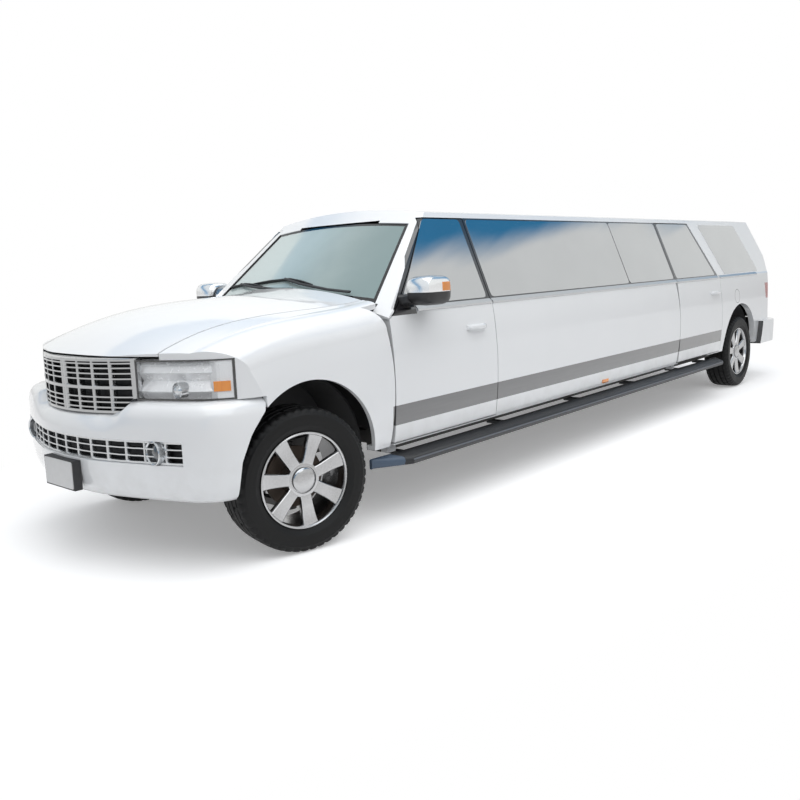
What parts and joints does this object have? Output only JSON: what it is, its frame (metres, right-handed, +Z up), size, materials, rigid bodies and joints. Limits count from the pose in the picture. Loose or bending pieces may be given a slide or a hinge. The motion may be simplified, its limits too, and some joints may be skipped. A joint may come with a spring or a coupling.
{
  "type": "stretched sport utility vehicle",
  "caption": "Stretched limousine sport utility vehicle with hinged doors, hood and tailgate, steered front wheels and a long lounge cabin.",
  "frame": {"origin": "bottom centre of the bounding box, on the ground between the axles", "axes": "+Z up, -Y towards the front of the car, +X towards its left side"},
  "size_m": [2.332, 8.801, 1.932],
  "materials": {
    "paint": "white gloss paint over primed steel",
    "tinted_glass": "dark privacy glass",
    "screen_glass": "green-grey laminated glass",
    "bright_trim": "bright chrome plate",
    "silver_trim": "satin chrome plate",
    "lamp": "clear lens over a bright reflector",
    "red_lens": "red moulded lens",
    "black_plastic": "black grained plastic",
    "mirror_shell": "black shell with a bright cap",
    "frame_steel": "black wax-coated steel",
    "cast_metal": "cast and forged metal",
    "rim_metal": "machined alloy",
    "tyre": "black rubber",
    "seat_leather": "black leather"
  },
  "bodies": {
    "body": {"chassis_frame": "frame_steel", "dashboard": "black_plastic", "door_hinges": "frame_steel", "driveline": "cast_metal", "engine": "cast_metal", "fenders": "paint", "firewall": "black_plastic", "floor_pan": "frame_steel", "front_bumper": "paint", "front_seats": "seat_leather", "front_suspension": "cast_metal", "headlamps": "lamp", "lounge_seats": "seat_leather", "lower_grille": "silver_trim", "partition": "black_plastic", "pillars": "paint", "plate_holder": "black_plastic", "quarter_panels": "paint", "radiator": "cast_metal", "rear_bumper": "paint", "rear_panel": "paint", "rear_suspension": "cast_metal", "roof": "paint", "running_boards": "black_plastic", "side_glass": "tinted_glass", "side_panels": "paint", "steering_wheel": "black_plastic", "tail_lamps": "red_lens", "tailgate_hinges": "frame_steel", "upper_grille": "bright_trim", "wheel_liners": "black_plastic", "windscreen": "screen_glass"},
    "hood": {"hood": "paint"},
    "front_door_left": {"front_door_left": "paint", "front_door_glass_left": "tinted_glass", "mirror_left": "mirror_shell"},
    "front_door_right": {"front_door_right": "paint", "front_door_glass_right": "tinted_glass", "mirror_right": "mirror_shell"},
    "rear_door_left": {"rear_door_left": "paint", "rear_door_glass_left": "tinted_glass"},
    "rear_door_right": {"rear_door_right": "paint", "rear_door_glass_right": "tinted_glass"},
    "tailgate": {"tailgate": "paint", "tailgate_glass": "tinted_glass"},
    "knuckle_left": {"knuckle_left": "cast_metal"},
    "knuckle_right": {"knuckle_right": "cast_metal"},
    "wheel_front_left": {"tyre_front_left": "tyre", "rim_front_left": "rim_metal"},
    "wheel_front_right": {"tyre_front_right": "tyre", "rim_front_right": "rim_metal"},
    "wheel_rear_left": {"tyre_rear_left": "tyre", "rim_rear_left": "rim_metal"},
    "wheel_rear_right": {"tyre_rear_right": "tyre", "rim_rear_right": "rim_metal"}
  },
  "joints": [
    {"name": "front_door_left_swing", "type": "hinge", "parent": "body", "child": "front_door_left", "pos_m": [0.96, -2.752, 0.85], "axis": [0, 0, -1], "range_deg": [0, 65]},
    {"name": "rear_door_left_swing", "type": "hinge", "parent": "body", "child": "rear_door_left", "pos_m": [0.96, 1.45, 0.85], "axis": [0, 0, -1], "range_deg": [0, 65]},
    {"name": "front_door_right_swing", "type": "hinge", "parent": "body", "child": "front_door_right", "pos_m": [-0.96, -2.752, 0.85], "axis": [0, 0, 1], "range_deg": [0, 65]},
    {"name": "rear_door_right_swing", "type": "hinge", "parent": "body", "child": "rear_door_right", "pos_m": [-0.96, 1.45, 0.85], "axis": [0, 0, 1], "range_deg": [0, 65]},
    {"name": "hood_lift", "type": "hinge", "parent": "body", "child": "hood", "pos_m": [0, -2.83, 1.366], "axis": [-1, 0, 0], "range_deg": [0, 45]},
    {"name": "tailgate_lift", "type": "hinge", "parent": "body", "child": "tailgate", "pos_m": [0, 4.092, 1.806], "axis": [1, 0, 0], "range_deg": [0, 80]},
    {"name": "steer_left", "type": "hinge", "parent": "body", "child": "knuckle_left", "pos_m": [0.77, -3.462, 0.4], "axis": [0, 0, 1], "range_deg": [-20, 46]},
    {"name": "wheel_front_left_spin", "type": "hinge", "parent": "knuckle_left", "child": "wheel_front_left", "pos_m": [0.84892, -3.48022, 0.4], "axis": [0.9744, -0.225, 0], "continuous": true},
    {"name": "wheel_rear_left_spin", "type": "hinge", "parent": "body", "child": "wheel_rear_left", "pos_m": [0.851, 3.117, 0.4], "axis": [1, 0, 0], "continuous": true},
    {"name": "steer_right", "type": "hinge", "parent": "body", "child": "knuckle_right", "pos_m": [-0.77, -3.462, 0.4], "axis": [0, 0, 1], "range_deg": [-20, 46]},
    {"name": "wheel_front_right_spin", "type": "hinge", "parent": "knuckle_right", "child": "wheel_front_right", "pos_m": [-0.84892, -3.44378, 0.4], "axis": [0.9744, -0.225, 0], "continuous": true},
    {"name": "wheel_rear_right_spin", "type": "hinge", "parent": "body", "child": "wheel_rear_right", "pos_m": [-0.851, 3.117, 0.4], "axis": [1, 0, 0], "continuous": true}
  ],
  "couplings": [
    {"joint": "steer_right", "follows": "steer_left", "ratio": 1}
  ]
}
